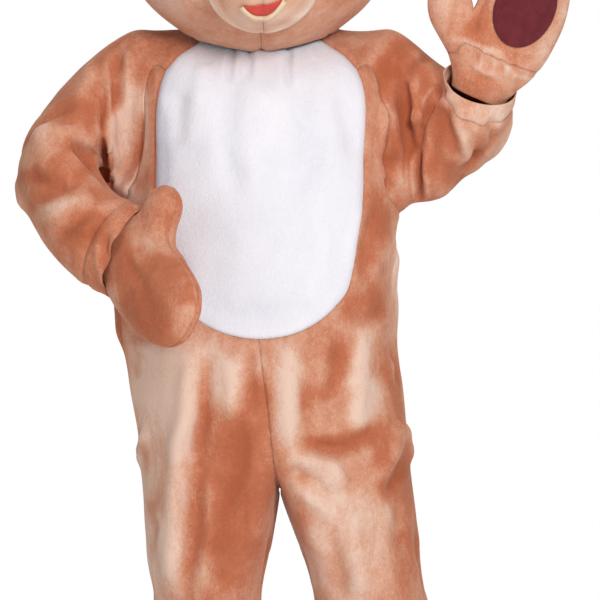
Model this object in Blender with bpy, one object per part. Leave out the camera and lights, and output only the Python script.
"""Bear mascot costume: hooded-ball head, raglan jumpsuit with a white belly, two mittens.

The suit is one skin of quads, worked out from tables of sections. Each face of the skin carries
the name of the cut piece that it belongs to, and every piece becomes a closed wall of cloth.
Metres, +Z up. The front of the costume faces -Y, the wearer's left is +X. The origin is the
middle of the shoulders, where the wearer carries it.
"""

import math

import bpy
import numpy as np
from mathutils import Vector
from mathutils.bvhtree import BVHTree

# Cloth and seams
CLOTH = 0.0022
HEAD_WALL = 0.0075
SEAM_GAP = 0.0003

# Torso grid: columns run round from the centre front, rows run down from the neck band
COLUMNS = 40
SIDE_COLUMN = COLUMNS // 4
BACK_COLUMN = COLUMNS // 2
NECK_ROW = 1
ARM_TOP_ROW = 3
UNDERARM_ROW = 9
BELLY_END_ROW = 14
CROTCH_ROW = 18
BELLY_COLUMN = 6
ARM_FRONT_COLUMN = 7
ARM_BACK_COLUMN = 13
PLACKET_END_ROW = 12
CROTCH_LINKS = 5

# Half widths, fronts and backs of the torso at given rows
TORSO = [
    # row, z_front, z_side, z_back, right, left, front, back
    (0, 0.008, 0.046, 0.078, -0.090, 0.090, -0.045, 0.108),
    (1, -0.010, 0.022, 0.056, -0.098, 0.098, -0.058, 0.116),
    (2, -0.036, 0.010, 0.032, -0.135, 0.138, -0.098, 0.150),
    (3, -0.070, 0.022, 0.002, -0.186, 0.188, -0.126, 0.172),
    (5, -0.140, -0.072, -0.085, -0.212, 0.212, -0.146, 0.190),
    (7, -0.200, -0.180, -0.175, -0.226, 0.222, -0.156, 0.194),
    (9, -0.272, -0.276, -0.260, -0.240, 0.226, -0.162, 0.190),
    (11, -0.362, -0.365, -0.355, -0.242, 0.220, -0.168, 0.182),
    (14, -0.504, -0.500, -0.505, -0.235, 0.222, -0.172, 0.182),
    (16, -0.602, -0.590, -0.605, -0.220, 0.236, -0.164, 0.188),
    (18, -0.706, -0.672, -0.706, -0.207, 0.243, -0.150, 0.180),
]

# Edge of the white belly panel, from the neck down and round to its lowest point
BELLY_EDGE = [
    # height, half width
    (-0.010, 0.120),
    (-0.036, 0.155),
    (-0.070, 0.167),
    (-0.109, 0.176),
    (-0.150, 0.180),
    (-0.222, 0.173),
    (-0.290, 0.169),
    (-0.350, 0.162),
    (-0.400, 0.150),
    (-0.440, 0.130),
    (-0.470, 0.104),
    (-0.490, 0.072),
    (-0.500, 0.038),
    (-0.503, 0.000),
]
BELLY_MIDDLE = -0.004

# Front edge of the armhole on the torso grid, from the shoulder to the underarm
ARMHOLE_EDGE = [
    # row, torso row reached, torso column reached
    (3, 3.95, 7.40),
    (4, 4.45, 7.50),
    (5, 5.20, 7.78),
    (6, 6.05, 8.03),
    (7, 7.00, 8.30),
    (8, 8.05, 8.66),
    (9, 8.95, 9.15),
]
UNDERARM_DROP = 0.22
SHOULDER_RISE = 0.60

# Rings of the raised sleeve (wearer's left): outer and inner points as seen from the front
SLEEVE_LEFT = [
    # top_x, top_z, low_x, low_z, y, depth
    (0.202, 0.042, 0.252, -0.282, 0.022, 0.116),
    (0.227, 0.017, 0.276, -0.282, 0.018, 0.106),
    (0.254, -0.010, 0.301, -0.267, 0.012, 0.100),
    (0.282, -0.035, 0.328, -0.245, 0.004, 0.095),
    (0.304, -0.057, 0.356, -0.218, -0.012, 0.090),
    (0.312, -0.074, 0.383, -0.190, -0.034, 0.085),
    (0.311, -0.074, 0.405, -0.156, -0.056, 0.076),
    (0.309, -0.067, 0.420, -0.126, -0.076, 0.066),
    (0.304, -0.055, 0.428, -0.094, -0.092, 0.057),
]

# Rings of the lowered sleeve (wearer's right), whose forearm crosses in front of the belly
SLEEVE_RIGHT = [
    # top_x, top_z, low_x, low_z, y, depth
    (-0.202, 0.034, -0.247, -0.262, 0.020, 0.116),
    (-0.244, 0.005, -0.254, -0.252, 0.016, 0.106),
    (-0.289, -0.030, -0.262, -0.242, 0.010, 0.100),
    (-0.333, -0.077, -0.268, -0.232, 0.000, 0.094),
    (-0.375, -0.129, -0.272, -0.225, -0.014, 0.088),
    (-0.405, -0.185, -0.273, -0.222, -0.034, 0.084),
    (-0.411, -0.239, -0.270, -0.228, -0.058, 0.081),
    (-0.395, -0.292, -0.262, -0.242, -0.086, 0.078),
    (-0.363, -0.349, -0.249, -0.259, -0.116, 0.074),
    (-0.326, -0.388, -0.232, -0.267, -0.140, 0.070),
    (-0.289, -0.415, -0.212, -0.276, -0.161, 0.066),
    (-0.254, -0.437, -0.192, -0.287, -0.177, 0.062),
]

# Rings of the legs below the crotch
LEG_LEFT = [
    # z_front, z_side, inner, outer, front, back
    (-0.745, -0.722, 0.036, 0.247, -0.148, 0.168),
    (-0.792, -0.776, 0.052, 0.256, -0.142, 0.150),
    (-0.842, -0.832, 0.074, 0.259, -0.134, 0.138),
    (-0.892, -0.888, 0.086, 0.265, -0.126, 0.130),
    (-0.942, -0.940, 0.088, 0.273, -0.118, 0.124),
    (-1.000, -1.000, 0.098, 0.281, -0.112, 0.118),
    (-1.062, -1.062, 0.110, 0.289, -0.107, 0.113),
    (-1.124, -1.124, 0.122, 0.297, -0.103, 0.108),
    (-1.186, -1.186, 0.133, 0.304, -0.100, 0.104),
    (-1.248, -1.248, 0.144, 0.311, -0.097, 0.101),
    (-1.310, -1.310, 0.153, 0.317, -0.095, 0.098),
    (-1.350, -1.350, 0.158, 0.320, -0.094, 0.096),
    (-1.380, -1.380, 0.163, 0.322, -0.092, 0.094),
]
LEG_RIGHT = [
    # z_front, z_side, inner, outer, front, back
    (-0.745, -0.722, 0.020, -0.202, -0.148, 0.168),
    (-0.792, -0.776, 0.016, -0.192, -0.142, 0.150),
    (-0.842, -0.832, 0.006, -0.190, -0.134, 0.138),
    (-0.892, -0.888, -0.002, -0.183, -0.126, 0.130),
    (-0.942, -0.940, -0.003, -0.177, -0.118, 0.124),
    (-1.000, -1.000, -0.005, -0.175, -0.112, 0.118),
    (-1.062, -1.062, -0.008, -0.176, -0.107, 0.113),
    (-1.124, -1.124, -0.012, -0.178, -0.103, 0.108),
    (-1.186, -1.186, -0.016, -0.180, -0.100, 0.104),
    (-1.248, -1.248, -0.021, -0.182, -0.097, 0.101),
    (-1.310, -1.310, -0.026, -0.184, -0.095, 0.098),
    (-1.350, -1.350, -0.029, -0.185, -0.094, 0.096),
    (-1.380, -1.380, -0.032, -0.186, -0.092, 0.094),
]

# Large folds: ridges have a positive height, troughs a negative one; face -1 is the front
FOLDS = [
    # x0, z0, x1, z1, width, height, face
    (-0.240, -0.020, -0.246, -0.130, 0.026, -0.016, -1),
    (-0.222, -0.100, -0.224, -0.225, 0.024, -0.014, -1),
    (-0.395, -0.165, -0.300, -0.160, 0.030, 0.012, -1),
    (-0.310, -0.172, -0.262, -0.225, 0.024, -0.014, -1),
    (-0.372, -0.250, -0.285, -0.235, 0.026, 0.010, -1),
    (-0.352, -0.305, -0.270, -0.272, 0.026, 0.010, -1),
    (-0.300, -0.345, -0.262, -0.300, 0.022, -0.008, -1),
    (0.172, -0.075, 0.236, -0.200, 0.030, 0.012, -1),
    (0.190, -0.110, 0.185, -0.215, 0.028, -0.012, -1),
    (0.228, -0.060, 0.256, -0.200, 0.028, -0.013, -1),
    (0.288, -0.118, 0.270, -0.215, 0.026, -0.007, -1),
    (0.326, -0.110, 0.350, -0.205, 0.024, 0.010, -1),
    (0.300, -0.290, 0.262, -0.240, 0.024, -0.008, 1),
    (-0.115, -0.520, -0.155, -0.900, 0.032, 0.014, -1),
    (-0.090, -0.540, -0.085, -0.800, 0.034, -0.010, -1),
    (-0.050, -0.530, -0.035, -0.690, 0.030, 0.008, -1),
    (0.045, -0.520, 0.060, -0.690, 0.030, 0.010, -1),
    (0.040, -0.712, 0.135, -0.740, 0.026, 0.012, -1),
    (0.060, -0.690, 0.150, -0.665, 0.026, -0.012, -1),
    (0.230, -0.520, 0.205, -0.620, 0.028, -0.010, -1),
    (0.235, -0.655, 0.175, -0.760, 0.026, 0.010, -1),
    (0.120, -0.520, 0.125, -0.620, 0.030, -0.009, -1),
    (0.110, -0.860, 0.235, -0.900, 0.036, 0.008, -1),
    (0.130, -1.180, 0.270, -1.150, 0.034, 0.009, -1),
    (-0.150, -1.190, -0.060, -1.225, 0.034, 0.009, -1),
    (0.200, -1.290, 0.290, -1.310, 0.026, -0.008, -1),
    (-0.170, -1.300, -0.080, -1.290, 0.026, -0.008, -1),
    (-0.180, -0.200, -0.100, -0.330, 0.034, 0.010, 1),
    (0.180, -0.200, 0.100, -0.330, 0.034, 0.010, 1),
    (-0.150, -0.520, -0.050, -0.600, 0.034, -0.010, 1),
    (0.150, -0.520, 0.050, -0.600, 0.034, -0.010, 1),
    (-0.160, -0.700, -0.020, -0.735, 0.032, 0.010, 1),
    (0.200, -0.710, 0.050, -0.740, 0.032, 0.010, 1),
    (-0.160, -0.960, -0.040, -0.985, 0.034, 0.009, 1),
    (0.240, -0.960, 0.120, -0.985, 0.034, 0.009, 1),
    (-0.330, -0.120, -0.270, -0.200, 0.030, -0.010, 1),
]

# Head: a padded ball with a tilted neck opening; angles in degrees above the ball's equator
HEAD_MIDDLE = (-0.006, -0.050, 0.1873)
HEAD_RADII = (0.235, 0.240, 0.210)
HEAD_COLUMNS = 36
HEAD_ROWS = 13
OPENING_MIDDLE_ANGLE = -61.0
OPENING_TILT = 22.0
CROWN_LINE = 34.0
EQUATOR_WEIGHT = 2.4
HEAD_ROLL = 1.5

# Features of the face, as seen from the front with the head upright: middle x and z, radii
MUZZLE = (0.002, 0.092, 0.094, 0.085)
MUZZLE_BULGE = 0.050
MUZZLE_LIFT = 0.0032
MUZZLE_RIM = 0.0035
MUZZLE_RINGS = 5
MOUTH_WIDTH = 0.066
MOUTH_HEIGHT = 0.060
MOUTH_DROP = 0.016
LIP_DROP = 0.033
MOUTH_TILT = 0.16
NOSE = (0.000, 0.146, 0.028, 0.019)
NOSE_BULGE = 0.017
EYE = (0.078, 0.250, 0.017, 0.021)
EYE_LIFT = 0.0010
EYE_BULGE = 0.011
EAR_ANGLES = (20.0, 52.0)
EAR_HEIGHT = 0.088
EAR_HALF_DEPTH = 0.026
EAR_BACKWARD = 0.020
EAR_LIFT = 0.0013
EAR_PATCH_LIFT = 0.0011
INNER_EAR_REACH = 0.62

# Mittens, in their own frame: x to the thumb, y towards the palm, z to the finger tips
MITT_COLUMNS = 20
MITT_LEFT_SECTIONS = [
    # height, thumb side, little finger side, palm depth, back depth
    (-0.032, 0.045, -0.048, 0.034, 0.034),
    (-0.012, 0.050, -0.053, 0.036, 0.035),
    (0.014, 0.061, -0.067, 0.040, 0.037),
    (0.045, 0.070, -0.082, 0.043, 0.039),
    (0.080, 0.067, -0.088, 0.044, 0.040),
    (0.115, 0.064, -0.089, 0.043, 0.039),
    (0.150, 0.066, -0.087, 0.040, 0.037),
    (0.185, 0.063, -0.080, 0.034, 0.032),
    (0.215, 0.050, -0.062, 0.026, 0.025),
    (0.234, 0.028, -0.038, 0.014, 0.014),
]
MITT_TIP_RISE = 0.007
HEEL_ROWS = 3
THUMB_LOW_ROW = 2
THUMB_HIGH_ROW = 5
THUMB_HALF_COLUMNS = 2
THUMB_LEFT_SECTIONS = [
    # x, z, half width, half depth
    (0.086, 0.064, 0.041, 0.034),
    (0.101, 0.089, 0.040, 0.033),
    (0.112, 0.113, 0.036, 0.030),
    (0.120, 0.134, 0.028, 0.023),
    (0.125, 0.149, 0.014, 0.012),
]
PAD_LEFT_MIDDLE = (-0.014, 0.142)
PAD_RIGHT_MIDDLE = (-0.012, 0.126)
PAD_RADII = (0.051, 0.068)
PATCH_LIFT = 0.0020
PATCH_WALL = 0.0020
LIP_WALL = 0.0045
LIP_LIFT = 0.0034
PATCH_RINGS = 3
PATCH_SPOKES = 20

# The lowered mitten: its heel fills the sleeve's end, and its thumb is spread sideways
MITT_RIGHT_SECTIONS = [
    # height, thumb side, little finger side, palm depth, back depth
    (-0.058, 0.062, -0.068, 0.023, 0.063),
    (-0.042, 0.066, -0.070, 0.032, 0.058),
    (-0.022, 0.066, -0.070, 0.042, 0.050),
    (0.000, 0.071, -0.069, 0.048, 0.046),
    (0.022, 0.075, -0.072, 0.050, 0.047),
    (0.045, 0.073, -0.079, 0.048, 0.045),
    (0.085, 0.068, -0.083, 0.044, 0.041),
    (0.130, 0.066, -0.082, 0.041, 0.038),
    (0.170, 0.060, -0.073, 0.034, 0.032),
    (0.200, 0.046, -0.056, 0.026, 0.025),
    (0.216, 0.026, -0.034, 0.014, 0.014),
]
THUMB_RIGHT_SECTIONS = [
    # x, z, half width, half depth
    (0.090, 0.013, 0.035, 0.031),
    (0.103, 0.009, 0.038, 0.032),
    (0.117, 0.003, 0.036, 0.030),
    (0.129, -0.002, 0.028, 0.023),
    (0.136, -0.005, 0.014, 0.012),
]

# Wrist points, finger directions and thumb directions of the two mittens
MITT_LEFT_PLACE = ((0.3699, -0.095, -0.066), (0.40, -0.16, 0.90), (-0.92, -0.06, 0.38))
MITT_RIGHT_PLACE = ((-0.2173, -0.1844, -0.3684), (0.460, -0.734, -0.500), (0.471, -0.275, 0.838))

PLUSH = (0.55, 0.27, 0.14)
TAN = (0.72, 0.50, 0.33)
WHITE = (0.86, 0.85, 0.88)
MAROON = (0.16, 0.03, 0.04)
RED = (0.55, 0.05, 0.04)
CREAM = (0.80, 0.66, 0.46)
BLACK = (0.02, 0.02, 0.02)


def unit(vectors):
    """Vectors scaled to length one."""
    lengths = np.linalg.norm(vectors, axis=-1, keepdims=True)
    return vectors / np.maximum(lengths, 1e-12)


def smooth_table(table, places):
    """Rows of a table at the given places of its first column, along a smooth curve."""
    table = np.asarray(table, dtype=float)
    keys = table[:, 0]
    slopes = np.gradient(table[:, 1:], keys, axis=0)
    places = np.clip(np.atleast_1d(places), keys[0], keys[-1])
    left = np.clip(np.searchsorted(keys, places, side="right") - 1, 0, len(keys) - 2)
    span = keys[left + 1] - keys[left]
    t = ((places - keys[left]) / span)[:, None]
    span = span[:, None]
    start, end = table[left, 1:], table[left + 1, 1:]
    return ((2 * t**3 - 3 * t**2 + 1) * start + (t**3 - 2 * t**2 + t) * span * slopes[left]
            + (3 * t**2 - 2 * t**3) * end + (t**3 - t**2) * span * slopes[left + 1])


def soft_step(value):
    """Smooth step from 0 to 1."""
    value = np.clip(value, 0.0, 1.0)
    return value * value * (3.0 - 2.0 * value)


def torso_point(column, row):
    """Point of the plain torso at a place of its grid."""
    z_front, z_side, z_back, right, left, front, back = smooth_table(TORSO, row)[0]
    angle = 2.0 * math.pi * column / COLUMNS
    sine, cosine = math.sin(angle), math.cos(angle)
    across = math.copysign(abs(sine) ** 0.90, sine)
    along = math.copysign(abs(cosine) ** 0.86, cosine)
    end_height = z_front if cosine > 0.0 else z_back
    height = z_side + (end_height - z_side) * cosine * cosine
    return np.array([
        (left + right) / 2.0 + (left - right) / 2.0 * across,
        (front + back) / 2.0 - (back - front) / 2.0 * along,
        height,
    ])


def place_on_front(x, z, column, row):
    """Grid place on the front of the torso that shows at x and z."""
    step = 0.01
    for _ in range(14):
        here = torso_point(column, row)
        by_column = (torso_point(column + step, row) - here) / step
        by_row = (torso_point(column, row + step) - here) / step
        matrix = np.array([[by_column[0], by_row[0]], [by_column[2], by_row[2]]])
        error = np.array([x - here[0], z - here[2]])
        move = np.clip(np.linalg.solve(matrix, error), -1.0, 1.0)
        column = float(np.clip(column + move[0], -9.4, 9.4))
        row = float(np.clip(row + move[1], 0.5, CROTCH_ROW - 0.5))
    return column, row


class Skin:
    """Quads that share their points, each face with the name of its cut piece."""

    def __init__(self):
        self.points = []
        self.faces = []
        self.pieces = []

    def add_point(self, point):
        self.points.append(np.asarray(point, dtype=float))
        return len(self.points) - 1

    def add_face(self, corners, piece):
        self.faces.append(tuple(corners))
        self.pieces.append(piece)

    def add_band(self, upper, lower, piece_of, closed=True):
        """Quads between two rows of points; piece_of gives the piece of each cell."""
        count = len(upper) if closed else len(upper) - 1
        for cell in range(count):
            after = (cell + 1) % len(upper)
            corners = (upper[cell], lower[cell], lower[after], upper[after])
            self.add_face([corner for place, corner in enumerate(corners)
                           if corner not in corners[:place]], piece_of(cell))

    def neighbours(self):
        """Set of linked points for each point."""
        links = [set() for _ in self.points]
        for face in self.faces:
            for corner, after in zip(face, face[1:] + face[:1]):
                links[corner].add(after)
                links[after].add(corner)
        return links

    def relax(self, chosen, rounds, strength=0.5):
        """Draw the chosen points towards the middle of their neighbours."""
        links = self.neighbours()
        for _ in range(rounds):
            old = np.array(self.points)
            for index in chosen:
                middle = old[list(links[index])].mean(axis=0)
                self.points[index] = old[index] + strength * (middle - old[index])

    def normals(self):
        """Outward normal at each point."""
        points = np.array(self.points)
        sums = np.zeros_like(points)
        for face in self.faces:
            corners = points[list(face)]
            middle = corners.mean(axis=0)
            area = np.zeros(3)
            for a, b in zip(corners, np.roll(corners, -1, axis=0)):
                area += np.cross(a - middle, b - middle)
            sums[list(face)] += area
        return unit(sums)


def split_cell(points, cell):
    """A cell as triangles, cut along its shorter diagonal."""
    if len(cell) < 4:
        return [cell]
    a, b, c, d = cell
    if np.linalg.norm(points[a] - points[c]) <= np.linalg.norm(points[b] - points[d]):
        return [(a, b, c), (a, c, d)]
    return [(b, c, d), (b, d, a)]


def piece_wall(skin, normals, piece, wall):
    """Points and faces of one cut piece as a closed wall, clear of its neighbours by the seam gap."""
    chosen = [face for face, name in zip(skin.faces, skin.pieces) if name == piece]
    points = np.array(skin.points)
    edges = {}
    for face in chosen:
        for corner, after in zip(face, face[1:] + face[:1]):
            edges[(corner, after)] = edges.get((corner, after), 0) + 1
    border = [(a, b) for a, b in edges if (b, a) not in edges]
    draw_in = {}
    for a, b in border:
        along = unit(points[b] - points[a])
        for index in (a, b):
            draw_in.setdefault(index, []).append(unit(np.cross(normals[index], along)))
    used = sorted({index for face in chosen for index in face})
    order = {index: place for place, index in enumerate(used)}
    outer = points[used].copy()
    for index, directions in draw_in.items():
        total = unit(np.sum(directions, axis=0))
        reach = max(0.35, float(np.dot(total, directions[0])))
        outer[order[index]] += total * (SEAM_GAP / 2.0 / reach)
    inner = outer - normals[used] * wall
    count = len(used)
    cells = [tuple(order[index] for index in face) for face in chosen]
    cells = [half for cell in cells for half in split_cell(outer, cell)]
    faces = cells + [tuple(index + count for index in reversed(cell)) for cell in cells]
    faces += [(order[b], order[a], order[a] + count, order[b] + count) for a, b in border]
    return np.vstack([outer, inner]), faces


def torso_piece(row, column):
    """Cut piece of the torso cell whose upper corner is at this row and column."""
    if row < NECK_ROW:
        return "neck_band"
    front_distance = min(column + 0.5, COLUMNS - column - 0.5)
    side = "left" if column < BACK_COLUMN else "right"
    if row < BELLY_END_ROW and front_distance < BELLY_COLUMN:
        return "belly"
    if row < PLACKET_END_ROW and front_distance > BACK_COLUMN - 1:
        return "back_placket"
    if row < ARM_TOP_ROW and front_distance < COLUMNS // 2 - BELLY_COLUMN:
        return "sleeve_" + side
    return ("front_" if front_distance < SIDE_COLUMN else "back_") + side


def belly_places():
    """Grid places of the belly panel's edge on the wearer's left, from the neck to its end."""
    heights = np.array([z for z, _ in BELLY_EDGE])
    widths = np.array([width for _, width in BELLY_EDGE])
    lengths = np.concatenate([[0.0], np.cumsum(np.hypot(np.diff(heights), np.diff(widths)))])
    upper = [np.interp(-z, -heights, lengths) for z in (-0.010, -0.040, -0.072)]
    below = BELLY_END_ROW - ARM_TOP_ROW + BELLY_COLUMN
    rest = np.linspace(upper[-1], lengths[-1], below + 1)[1:]
    return [(np.interp(s, lengths, widths), np.interp(s, lengths, heights)) for s in upper + list(rest)]


def fixed_places():
    """Grid places of the points that lie on seams: (row, column) to (torso column, torso row)."""
    fixed = {}
    edge = belly_places()
    path = [(row, BELLY_COLUMN) for row in range(NECK_ROW, BELLY_END_ROW + 1)]
    path += [(BELLY_END_ROW, column) for column in range(BELLY_COLUMN - 1, -1, -1)]
    for (row, column), (width, z) in zip(path, edge):
        for sign in (1, -1):
            x = BELLY_MIDDLE + sign * width
            if row == NECK_ROW:
                place = (float(sign * column), float(row))
            else:
                place = place_on_front(x, z, sign * column * 0.9, row - 0.2)
            if column == 0:
                place = (0.0, place[1])
            fixed[(row, sign * column % COLUMNS)] = (place[0] % COLUMNS, place[1])
    for row, torso_row, torso_column in ARMHOLE_EDGE:
        for column, reached in ((ARM_FRONT_COLUMN, torso_column),
                                (ARM_BACK_COLUMN, 2 * SIDE_COLUMN - torso_column)):
            fixed[(row, column)] = (reached, torso_row)
            fixed[(row, COLUMNS - column)] = (COLUMNS - reached, torso_row)
    for row in (ARM_TOP_ROW, UNDERARM_ROW):
        start = fixed[(row, ARM_FRONT_COLUMN)]
        end = fixed[(row, ARM_BACK_COLUMN)]
        for column in range(ARM_FRONT_COLUMN + 1, ARM_BACK_COLUMN):
            share = (column - ARM_FRONT_COLUMN) / (ARM_BACK_COLUMN - ARM_FRONT_COLUMN)
            sag = UNDERARM_DROP if row == UNDERARM_ROW else -SHOULDER_RISE
            reached = start[0] + share * (end[0] - start[0])
            level = start[1] + sag * math.sin(math.pi * share)
            fixed[(row, column)] = (reached, level)
            fixed[(row, COLUMNS - column)] = (COLUMNS - reached, level)
    for row in range(CROTCH_ROW + 1):
        fixed.setdefault((row, 0), (0.0, float(row)))
        fixed.setdefault((row, BACK_COLUMN), (float(BACK_COLUMN), float(row)))
    for column in range(COLUMNS):
        for row in (0, NECK_ROW, CROTCH_ROW):
            fixed.setdefault((row, column), (float(column), float(row)))
    return fixed


def in_armhole(row, column):
    """Whether a grid point lies inside an armhole."""
    column = min(column, COLUMNS - column)
    return ARM_TOP_ROW < row < UNDERARM_ROW and ARM_FRONT_COLUMN < column < ARM_BACK_COLUMN


def torso_places():
    """Grid places of all torso points, eased between the seams."""
    places = np.zeros((CROTCH_ROW + 1, COLUMNS, 2))
    for row in range(CROTCH_ROW + 1):
        for column in range(COLUMNS):
            places[row, column] = (column, row)
    fixed = fixed_places()
    for (row, column), place in fixed.items():
        places[row, column] = place
    for _ in range(120):
        for row in range(NECK_ROW, CROTCH_ROW):
            for column in range(COLUMNS):
                if (row, column) in fixed or in_armhole(row, column):
                    continue
                before, after = (column - 1) % COLUMNS, (column + 1) % COLUMNS
                beside = [places[row, before].copy(), places[row, after].copy()]
                if before > column:
                    beside[0][0] -= COLUMNS
                if after < column:
                    beside[1][0] += COLUMNS
                total = beside[0] + beside[1] + places[row - 1, column] + places[row + 1, column]
                places[row, column] = total / 4.0
    return places


def add_torso(skin):
    """Torso grid, with the armholes left open; returns the point numbers by row and column."""
    places = torso_places()
    grid = {}
    for row in range(CROTCH_ROW + 1):
        for column in range(COLUMNS):
            if not in_armhole(row, column):
                grid[(row, column)] = skin.add_point(torso_point(*places[row, column]))
    for row in range(CROTCH_ROW):
        for column in range(COLUMNS):
            side_column = min(column + 0.5, COLUMNS - column - 0.5)
            if ARM_TOP_ROW <= row < UNDERARM_ROW and ARM_FRONT_COLUMN < side_column < ARM_BACK_COLUMN:
                continue
            after = (column + 1) % COLUMNS
            skin.add_face((grid[(row, column)], grid[(row + 1, column)],
                           grid[(row + 1, after)], grid[(row, after)]), torso_piece(row, column))
    return grid


def armhole_loop(grid, side):
    """Armhole points from the front of the shoulder over the top, down the back and up the front."""
    places = [(ARM_TOP_ROW, column) for column in range(ARM_FRONT_COLUMN, ARM_BACK_COLUMN + 1)]
    places += [(row, ARM_BACK_COLUMN) for row in range(ARM_TOP_ROW + 1, UNDERARM_ROW + 1)]
    places += [(UNDERARM_ROW, column) for column in range(ARM_BACK_COLUMN - 1, ARM_FRONT_COLUMN - 1, -1)]
    places += [(row, ARM_FRONT_COLUMN) for row in range(UNDERARM_ROW - 1, ARM_TOP_ROW, -1)]
    if side < 0:
        places = [(row, COLUMNS - column) for row, column in places]
    return [grid[place] for place in places]


def sleeve_sections(table, loop_points):
    """Middle, upward and backward half vectors of each ring of a sleeve."""
    table = np.asarray(table, dtype=float)
    top = np.stack([table[:, 0], table[:, 4], table[:, 1]], axis=1)
    low = np.stack([table[:, 2], table[:, 4], table[:, 3]], axis=1)
    middles = (top + low) / 2.0
    up = (top - low) / 2.0
    start = loop_points.mean(axis=0)
    travel = unit(np.gradient(np.vstack([start, middles]), axis=0)[1:])
    backward = unit(np.cross(travel, up))
    backward *= np.sign(backward[:, 1:2])
    return middles, up, backward * table[:, 5:6]


def add_sleeve(skin, grid, side, table, name):
    """Sleeve tube from the armhole to its hem; returns the rings of point numbers."""
    loop = armhole_loop(grid, side)
    loop_points = np.array([skin.points[index] for index in loop])
    middles, up, backward = sleeve_sections(table, loop_points)
    count = len(loop)
    top_cell = (ARM_BACK_COLUMN - ARM_FRONT_COLUMN) // 2
    angles = 2.0 * math.pi * (np.arange(count) - top_cell) / count
    rings = [loop]
    blend_rows = 3
    for row in range(len(middles)):
        ring = (middles[row] + np.cos(angles)[:, None] * up[row]
                + np.sin(angles)[:, None] * backward[row])
        share = soft_step((row + 1) / (blend_rows + 1))
        carried = loop_points + (middles[row] - loop_points.mean(axis=0))
        rings.append([skin.add_point(point) for point in carried * (1 - share) + ring * share])
    for row, (upper, lower) in enumerate(zip(rings, rings[1:])):
        last = row == len(rings) - 2
        piece = "sleeve_hem_" + name if last else "sleeve_" + name
        if side > 0:
            skin.add_band(upper, lower, lambda cell, piece=piece: piece)
        else:
            skin.add_band(lower, upper, lambda cell, piece=piece: piece)
    return rings


def add_crotch(skin, grid):
    """Points of the crotch seam between the centre front and the centre back."""
    front = skin.points[grid[(CROTCH_ROW, 0)]]
    back = skin.points[grid[(CROTCH_ROW, BACK_COLUMN)]]
    chain = []
    for link in range(1, CROTCH_LINKS + 1):
        share = link / (CROTCH_LINKS + 1)
        point = front + share * (back - front)
        point[0] = 0.028
        point[2] -= 0.022 * math.sin(math.pi * share)
        chain.append(skin.add_point(point))
    return chain


def add_leg(skin, grid, chain, side, table, name):
    """Leg tube from the torso's lowest row to its hem; returns the rings of point numbers."""
    if side > 0:
        outside = [grid[(CROTCH_ROW, column)] for column in range(BACK_COLUMN + 1)]
    else:
        outside = [grid[(CROTCH_ROW, -column % COLUMNS)] for column in range(BACK_COLUMN + 1)]
    loop = outside + chain[::-1]
    loop_points = np.array([skin.points[index] for index in loop])
    count = len(loop)
    angles = math.pi / 2.0 + 2.0 * math.pi * (np.arange(count) - SIDE_COLUMN) / count
    across, along = np.sin(angles), np.cos(angles)
    rings = [loop]
    blend_rows = 4
    for row, (z_front, z_side, inner, outer, front, back) in enumerate(table):
        x = (inner + outer) / 2.0 + (outer - inner) / 2.0 * np.sign(across) * np.abs(across) ** 0.95
        y = (front + back) / 2.0 - (back - front) / 2.0 * np.sign(along) * np.abs(along) ** 0.92
        z = z_side + (z_front - z_side) * along**2
        inside = np.clip(-across, 0.0, 1.0) ** 2
        z = z + (z_front - z) * inside
        ring = np.stack([x, y, z], axis=1)
        share = soft_step((row + 1) / (blend_rows + 1))
        carried = loop_points.copy()
        carried[:, 2] += (z_front - loop_points[0, 2])
        carried[:, 0] += (ring[:, 0].mean() - loop_points[:, 0].mean()) * 0.5
        rings.append([skin.add_point(point) for point in carried * (1 - share) + ring * share])
    side_cell = SIDE_COLUMN
    inner_cell = SIDE_COLUMN + count // 2

    def piece_of(cell, last):
        if last:
            return "leg_hem_" + name
        back_half = side_cell <= cell < inner_cell
        return ("back_" if back_half else "front_") + name

    for row, (upper, lower) in enumerate(zip(rings, rings[1:])):
        last = row == len(rings) - 2
        if side > 0:
            skin.add_band(upper, lower, lambda cell, last=last: piece_of(cell, last))
        else:
            skin.add_band(lower, upper, lambda cell, last=last: piece_of(cell, last))
    return rings


def fold_height(points, normals, table):
    """Height of the folds at each point, above or below the plain skin."""
    total = np.zeros(len(points))
    for x0, z0, x1, z1, width, height, face in table:
        start, end = np.array([x0, z0]), np.array([x1, z1])
        length = np.linalg.norm(end - start)
        along = (end - start) / length
        offset = points[:, [0, 2]] - start
        t = offset @ along
        t_in = np.clip(t, 0.0, length)
        distance = np.linalg.norm(offset - t_in[:, None] * along, axis=1)
        ends = soft_step(0.35 + 2.2 * np.minimum(t_in, length - t_in) / length)
        facing = soft_step(normals[:, 1] * face * 1.6)
        total += height * np.exp(-((distance / width) ** 2)) * ends * facing
    return total


def build_suit():
    """The whole suit as one skin, with its large folds."""
    skin = Skin()
    grid = add_torso(skin)
    left = add_sleeve(skin, grid, 1, SLEEVE_LEFT, "left")
    right = add_sleeve(skin, grid, -1, SLEEVE_RIGHT, "right")
    chain = add_crotch(skin, grid)
    leg_left = add_leg(skin, grid, chain, 1, LEG_LEFT, "left")
    leg_right = add_leg(skin, grid, chain, -1, LEG_RIGHT, "right")
    joints = set(chain)
    for row in (NECK_ROW + 1, ARM_TOP_ROW):
        for column in range(BELLY_COLUMN, BACK_COLUMN - BELLY_COLUMN + 1):
            joints.update((grid[(row, column)], grid[(row, COLUMNS - column)]))
    for rings in (left, right):
        joints.update(index for ring in rings[:3] for index in ring)
    for rings in (leg_left, leg_right):
        joints.update(index for ring in rings[:3] for index in ring)
    skin.relax(sorted(joints), 3)
    normals = skin.normals()
    lift = fold_height(np.array(skin.points), normals, FOLDS)
    skin.points = list(np.array(skin.points) + normals * lift[:, None])
    return skin


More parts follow.
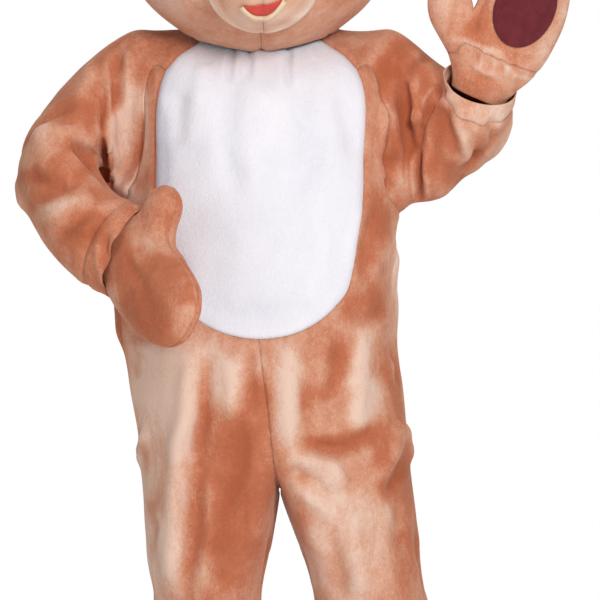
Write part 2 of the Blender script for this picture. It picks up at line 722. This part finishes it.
def enclosed_volume(points, faces):
    """Volume inside closed faces, negative where they face inwards."""
    fans = [(face[0], b, c) for face in faces for b, c in zip(face[1:], face[2:])]
    corners = (points - points.mean(axis=0))[np.array(fans)]
    return float(np.einsum("ij,ij->", corners[:, 0], np.cross(corners[:, 1], corners[:, 2]))) / 6.0


def new_object(name, points, faces, colour, roughness=0.9):
    """Object of one closed mesh with its own material."""
    points = np.asarray(points)
    if enclosed_volume(points, faces) < 0.0:
        faces = [tuple(reversed(face)) for face in faces]
    mesh = bpy.data.meshes.new(name)
    mesh.from_pydata([tuple(point) for point in points], [], faces)
    mesh.shade_smooth()
    material = bpy.data.materials.new(name)
    material.use_nodes = True
    shader = material.node_tree.nodes["Principled BSDF"]
    shader.inputs["Base Color"].default_value = (*colour, 1.0)
    shader.inputs["Roughness"].default_value = roughness
    shader.inputs["Metallic"].default_value = 0.0
    mesh.materials.append(material)
    item = bpy.data.objects.new(name, mesh)
    bpy.context.scene.collection.objects.link(item)
    return item


def make_suit():
    """Every piece of the suit as an object."""
    skin = build_suit()
    normals = skin.normals()
    for piece in sorted(set(skin.pieces)):
        points, faces = piece_wall(skin, normals, piece, CLOTH)
        new_object(piece, points, faces, WHITE if piece == "belly" else PLUSH)


def mitt_piece(cell, row):
    """Cut piece of a cell of the mitten's tube."""
    if cell >= MITT_COLUMNS // 2:
        return "back"
    return "heel" if row < HEEL_ROWS else "palm"


def build_mitt(sections, thumb_sections):
    """One mitten with its thumb as a skin, in its own frame."""
    skin = Skin()
    angles = 2.0 * math.pi * np.arange(MITT_COLUMNS) / MITT_COLUMNS
    half = MITT_COLUMNS // 2
    rows = []
    for height, thumb, little, palm, back in sections:
        x = (thumb + little) / 2.0 + (thumb - little) / 2.0 * np.cos(angles)
        swell = np.sign(np.sin(angles)) * np.abs(np.sin(angles)) ** 0.85
        y = np.where(swell > 0.0, palm, back) * swell
        rows.append([(x[c], y[c], height) for c in range(MITT_COLUMNS)])
    thumb_columns = range(-THUMB_HALF_COLUMNS + 1, THUMB_HALF_COLUMNS)
    hidden = {(row, column % MITT_COLUMNS) for row in range(THUMB_LOW_ROW + 1, THUMB_HIGH_ROW)
              for column in thumb_columns}
    grid = {}
    for row, points in enumerate(rows):
        for column, point in enumerate(points):
            if (row, column) not in hidden:
                grid[(row, column)] = skin.add_point(point)
    last = len(rows) - 1
    for row in range(last):
        for column in range(MITT_COLUMNS):
            near = (column + 0.5 + half) % MITT_COLUMNS - half
            if THUMB_LOW_ROW <= row < THUMB_HIGH_ROW and abs(near) < THUMB_HALF_COLUMNS:
                continue
            after = (column + 1) % MITT_COLUMNS
            skin.add_face((grid[(row + 1, column)], grid[(row, column)],
                           grid[(row, after)], grid[(row + 1, after)]), mitt_piece(column, row))
    tip = []
    for column in range(half + 1):
        x, _, z = rows[last][column]
        rise = MITT_TIP_RISE * math.sin(math.pi * column / half)
        tip.append(skin.add_point((x, 0.0, z + 0.002 + rise)))
    tip_row = [tip[min(column, MITT_COLUMNS - column)] for column in range(MITT_COLUMNS)]
    skin.add_band(tip_row, [grid[(last, column)] for column in range(MITT_COLUMNS)],
                  lambda cell: mitt_piece(cell, last))
    add_thumb(skin, grid, thumb_sections)
    return skin


def add_thumb(skin, grid, sections):
    """Thumb tube from the opening in the mitten's side."""
    low, high, wide = THUMB_LOW_ROW, THUMB_HIGH_ROW, THUMB_HALF_COLUMNS
    places = [(low, column) for column in range(wide + 1)]
    places += [(row, wide) for row in range(low + 1, high + 1)]
    places += [(high, column) for column in range(wide - 1, -wide - 1, -1)]
    places += [(row, -wide) for row in range(high - 1, low - 1, -1)]
    places += [(low, column) for column in range(-wide + 1, 0)]
    loop = [grid[(row, column % MITT_COLUMNS)] for row, column in places]
    count = len(loop)
    angles = 2.0 * math.pi * np.arange(count) / count
    middles = np.array([(x, 0.0, z) for x, z, _, _ in sections])
    travel = unit(np.gradient(middles, axis=0))
    rings = [loop]
    for middle, along, (_, _, wide_half, deep_half) in zip(middles, travel, sections):
        outward = np.array([along[2], 0.0, -along[0]])
        ring = (middle + np.cos(angles)[:, None] * outward * wide_half
                + np.sin(angles)[:, None] * np.array([0.0, deep_half, 0.0]))
        rings.append([skin.add_point(point) for point in ring])
    end = np.array([skin.points[index] for index in rings[-1]])
    tip = []
    for cell in range(count // 2 + 1):
        point = end[cell] * np.array([1.0, 0.0, 1.0])
        point += travel[-1] * 0.006 * math.sin(math.pi * cell / (count // 2))
        tip.append(skin.add_point(point + travel[-1] * 0.001))
    rings.append([tip[min(cell, count - cell)] for cell in range(count)])
    for lower, upper in zip(rings, rings[1:]):
        skin.add_band(upper, lower, lambda cell: "palm" if cell < count // 2 else "back")
    skin.relax(sorted(set(rings[0] + rings[1])), 2)


def closed_patch(lower, upper, faces):
    """Closed solid between two matching layers of points."""
    count = len(lower)
    edges = set()
    for face in faces:
        edges.update(zip(face, face[1:] + face[:1]))
    below = [tuple(index + count for index in reversed(face)) for face in faces]
    sides = [(b, a, a + count, b + count) for a, b in sorted(edges) if (b, a) not in edges]
    return np.vstack([upper, lower]), list(faces) + below + sides


def drop_on(tree, origins, facing):
    """Points where rays against the facing direction meet a surface."""
    hits = []
    for origin in origins:
        start = Vector(origin + facing * 0.5)
        hit = tree.ray_cast(start, Vector(-facing), 1.2)[0]
        if hit is None:
            raise ValueError("a patch reaches past the surface under it")
        hits.append(np.array(hit))
    return np.array(hits)


def disc_patch(tree, middle, across, upward, facing, radii, lift, wall, bulge=0.0, half=0,
               rings=PATCH_RINGS):
    """Closed round patch, or its half on one side, laid on a surface and moved out."""
    spokes = PATCH_SPOKES if half == 0 else PATCH_SPOKES // 2 + 1
    spots = [(0.0, 0.0)]
    for ring in range(1, rings + 1):
        reach = ring / rings
        for spoke in range(spokes):
            angle = 2.0 * math.pi * spoke / PATCH_SPOKES
            if half != 0:
                angle = (angle - math.pi / 2.0) * half
            spots.append((reach * math.cos(angle) * (half or 1), reach * math.sin(angle)))
    spots = np.array(spots)
    origins = (middle + across * (spots[:, :1] * radii[0] + half * SEAM_GAP / 2.0)
               + upward * (spots[:, 1:] * radii[1]))
    hits = drop_on(tree, origins, facing)
    swell = bulge * np.sqrt(np.clip(1.0 - (spots**2).sum(axis=1), 0.0, 1.0))
    faces = []
    cells = spokes if half == 0 else spokes - 1
    for spoke in range(cells):
        faces.append((0, 1 + spoke, 1 + (spoke + 1) % spokes))
    for ring in range(1, rings):
        first = 1 + (ring - 1) * spokes
        for spoke in range(cells):
            after = (spoke + 1) % spokes
            faces.append((first + spoke, first + spokes + spoke, first + spokes + after, first + after))
    return closed_patch(hits + facing * lift, hits + facing * (lift + wall + swell)[:, None], faces)


def strip_patch(tree, upper_edge, lower_edge, facing, lift, wall, columns=12, rows=3):
    """Closed strip laid on a surface between two edges, each a function of the share along it."""
    spots = []
    for row in range(rows + 1):
        for column in range(columns + 1):
            share = column / columns
            top, low = upper_edge(share), lower_edge(share)
            spots.append(top + (low - top) * row / rows)
    hits = drop_on(tree, np.array(spots), facing)
    faces = []
    for row in range(rows):
        for column in range(columns):
            first = row * (columns + 1) + column
            faces.append((first, first + columns + 1, first + columns + 2, first + 1))
    return closed_patch(hits + facing * lift, hits + facing * (lift + wall), faces)


def build_head():
    """The ball of the head as a skin, upright, with its crown closed along the middle line."""
    skin = Skin()
    middle, radii = np.array(HEAD_MIDDLE), np.array(HEAD_RADII)
    half = HEAD_COLUMNS // 2
    rows = []
    for row in range(HEAD_ROWS + 1):
        share = row / HEAD_ROWS
        count = half + 1 if row == HEAD_ROWS else HEAD_COLUMNS
        ring = []
        for column in range(count):
            turn = 2.0 * math.pi * column / HEAD_COLUMNS
            level = math.radians(OPENING_MIDDLE_ANGLE - OPENING_TILT * math.cos(turn))
            compass = np.array([math.sin(turn), -math.cos(turn), 0.0])
            bottom = compass * math.cos(level) + np.array([0.0, 0.0, math.sin(level)])
            near = min(column, HEAD_COLUMNS - column) / half
            lean = math.radians(CROWN_LINE * (1.0 - 2.0 * near))
            top = np.array([0.0, -math.sin(lean), math.cos(lean)])
            way = ((1 - share) ** 2 * bottom + 2 * share * (1 - share) * EQUATOR_WEIGHT * compass
                   + share**2 * top)
            ring.append(skin.add_point(middle + unit(way) * radii))
        rows.append(ring)
    rows[-1] = [rows[-1][min(column, HEAD_COLUMNS - column)] for column in range(HEAD_COLUMNS)]
    quarter = HEAD_COLUMNS // 4

    def piece_of(cell):
        part = "face" if cell < quarter or cell >= HEAD_COLUMNS - quarter else "back"
        return "head_%s_%s" % (part, "left" if cell < half else "right")

    for lower, upper in zip(rows, rows[1:]):
        skin.add_band(upper, lower, piece_of)
    return skin


def rolled(points):
    """Head points turned about the head's middle, with the wearer's left side up."""
    turn = math.radians(HEAD_ROLL)
    offset = np.asarray(points) - np.array(HEAD_MIDDLE)
    x = offset[:, 0] * math.cos(turn) - offset[:, 2] * math.sin(turn)
    z = offset[:, 0] * math.sin(turn) + offset[:, 2] * math.cos(turn)
    return np.stack([x, offset[:, 1], z], axis=1) + np.array(HEAD_MIDDLE)


def tree_of(points, faces):
    """Search tree of one surface."""
    return BVHTree.FromPolygons([tuple(point) for point in points], faces)


def make_ear(name, side, tree):
    """One padded ear, sewn to the crown, with the patch of its inner side."""
    middle = np.array(HEAD_MIDDLE)
    start, end = (math.radians(angle) for angle in EAR_ANGLES)
    steps, turns = 10, 10
    rings = []
    for step in range(steps + 1):
        share = 0.04 + 0.92 * step / steps
        angle = start + (end - start) * share
        outward = np.array([math.sin(angle) * side, 0.0, math.cos(angle)])
        arch = math.sqrt(1.0 - (2.0 * share - 1.0) ** 2)
        depth = EAR_HALF_DEPTH * (0.35 + 0.65 * arch)
        ring = []
        for turn in range(turns + 1):
            swing = math.pi * turn / turns
            y = EAR_BACKWARD - depth * math.cos(swing)
            hit = tree.ray_cast(Vector(middle + outward * 0.6 + np.array([0.0, y, 0.0])),
                                Vector(-outward), 1.0)[0]
            rise = EAR_LIFT + EAR_HEIGHT * arch * math.sin(swing) ** 0.8
            ring.append(np.array(hit) + outward * rise)
        for share_across in (0.75, 0.5, 0.25):
            y = EAR_BACKWARD - depth * (1.0 - 2.0 * share_across)
            hit = tree.ray_cast(Vector(middle + outward * 0.6 + np.array([0.0, y, 0.0])),
                                Vector(-outward), 1.0)[0]
            ring.append(np.array(hit) + outward * EAR_LIFT)
        rings.append(ring)
    count = len(rings[0])
    points = np.array([point for ring in rings for point in ring])
    faces = []
    for step in range(steps):
        for cell in range(count):
            after = (cell + 1) % count
            faces.append((step * count + cell, step * count + after,
                          (step + 1) * count + after, (step + 1) * count + cell))
    faces.append(tuple(reversed(range(count))))
    faces.append(tuple(range(steps * count, (steps + 1) * count)))
    new_object("ear_" + name, rolled(points), faces, PLUSH)
    ear_tree = tree_of(points, faces)
    lean = (start + end) / 2.0
    outward = np.array([math.sin(lean) * side, 0.0, math.cos(lean)])
    across = np.array([math.cos(lean) * side, 0.0, -math.sin(lean)])
    facing = np.array([0.0, -1.0, 0.0])
    base = np.array(tree.ray_cast(Vector(middle + outward * 0.6), Vector(-outward), 1.0)[0])
    patch_middle = base + outward * EAR_HEIGHT * 0.50
    radii = (EAR_HEIGHT * 0.46, EAR_HEIGHT * 0.34)
    points, faces = disc_patch(ear_tree, patch_middle, across, outward, facing, radii,
                               EAR_PATCH_LIFT, PATCH_WALL)
    new_object("inner_ear_" + name, rolled(points), faces, TAN)


def make_head():
    """Every piece of the head as an object."""
    skin = build_head()
    normals = skin.normals()
    for piece in sorted(set(skin.pieces)):
        points, faces = piece_wall(skin, normals, piece, HEAD_WALL)
        new_object(piece, rolled(points), faces, PLUSH)
    tree = tree_of(skin.points, skin.faces)
    facing = unit(np.array([0.0, -0.95, -0.30]))
    across = np.array([1.0, 0.0, 0.0])
    upward = np.cross(across, facing)
    upward *= np.sign(upward[2])
    x, z, wide, high = MUZZLE
    middle = np.array([x, HEAD_MIDDLE[1] - HEAD_RADII[1], z])
    form = ((wide, high), MUZZLE_LIFT, MUZZLE_RIM, MUZZLE_BULGE)
    for name, half in (("left", 1), ("right", -1)):
        points, faces = disc_patch(tree, middle, across, upward, facing, *form, half, MUZZLE_RINGS)
        new_object("muzzle_" + name, rolled(points), faces, TAN)
    whole = disc_patch(tree, middle, across, upward, facing, *form, rings=MUZZLE_RINGS)
    muzzle_tree = tree_of(*whole)

    def mouth_edge(drop):
        def edge(share):
            across_share = 2.0 * share - 1.0
            pinch = 0.0015 + drop * (1.0 - across_share * across_share)
            sag = 0.004 * (1.0 - across_share * across_share)
            return middle + across * (MOUTH_WIDTH / 2.0 * across_share) + upward * (
                MOUTH_HEIGHT - z - sag - pinch + MOUTH_TILT * MOUTH_WIDTH / 2.0 * across_share)
        return edge

    points, faces = strip_patch(muzzle_tree, mouth_edge(0.0), mouth_edge(MOUTH_DROP), facing,
                                PATCH_LIFT, PATCH_WALL)
    new_object("mouth", rolled(points), faces, RED)

    def below_mouth(share):
        return mouth_edge(MOUTH_DROP)(share) - upward * 0.0006

    def below_lip(share):
        return mouth_edge(LIP_DROP)(share) - upward * 0.0040

    points, faces = strip_patch(muzzle_tree, below_mouth, below_lip, facing, LIP_LIFT, LIP_WALL)
    new_object("lower_lip", rolled(points), faces, CREAM)
    x, z, wide, high = NOSE
    nose_facing = np.array([0.0, -1.0, 0.0])
    points, faces = disc_patch(muzzle_tree, np.array([x, middle[1], z]), across,
                               np.array([0.0, 0.0, 1.0]), nose_facing, (wide, high), PATCH_LIFT,
                               PATCH_WALL, NOSE_BULGE)
    new_object("nose", rolled(points), faces, BLACK, 0.35)
    x, z, wide, high = EYE
    for name, side in (("left", 1), ("right", -1)):
        points, faces = disc_patch(tree, np.array([HEAD_MIDDLE[0] + x * side, middle[1], z]), across,
                                   np.array([0.0, 0.0, 1.0]), nose_facing, (wide, high), EYE_LIFT,
                                   PATCH_WALL, EYE_BULGE)
        new_object("eye_" + name, rolled(points), faces, BLACK, 0.15)
        make_ear(name, side, tree)


def make_mitt(name, place, sections, thumb_sections, pad_middle, mirrored):
    """Every piece of one mitten as an object."""
    origin, fingers, thumb = (np.array(values, dtype=float) for values in place)
    fingers = unit(fingers)
    thumb = unit(thumb - fingers * float(thumb @ fingers))
    palm = np.cross(fingers, thumb) * (-1.0 if mirrored else 1.0)
    skin = build_mitt(sections, thumb_sections)
    normals = skin.normals()

    def placed(points):
        return origin + points[:, :1] * thumb + points[:, 1:2] * palm + points[:, 2:] * fingers

    for piece in ("back", "palm", "heel"):
        points, faces = piece_wall(skin, normals, piece, CLOTH)
        new_object("mitt_%s_%s" % (name, piece), placed(points), faces, PLUSH)
    tree = tree_of(skin.points, skin.faces)
    axes = np.eye(3)
    middle = np.array([pad_middle[0], 0.0, pad_middle[1]])
    points, faces = disc_patch(tree, middle, axes[0], axes[2], axes[1], PAD_RADII,
                               PATCH_LIFT, PATCH_WALL)
    new_object("mitt_%s_pad" % name, placed(points), faces, MAROON)


def main():
    """Build the whole costume in an empty scene."""
    for item in list(bpy.data.objects):
        bpy.data.objects.remove(item)
    make_suit()
    make_mitt("left", MITT_LEFT_PLACE, MITT_LEFT_SECTIONS, THUMB_LEFT_SECTIONS, PAD_LEFT_MIDDLE, False)
    make_mitt("right", MITT_RIGHT_PLACE, MITT_RIGHT_SECTIONS, THUMB_RIGHT_SECTIONS, PAD_RIGHT_MIDDLE, True)
    make_head()


main()
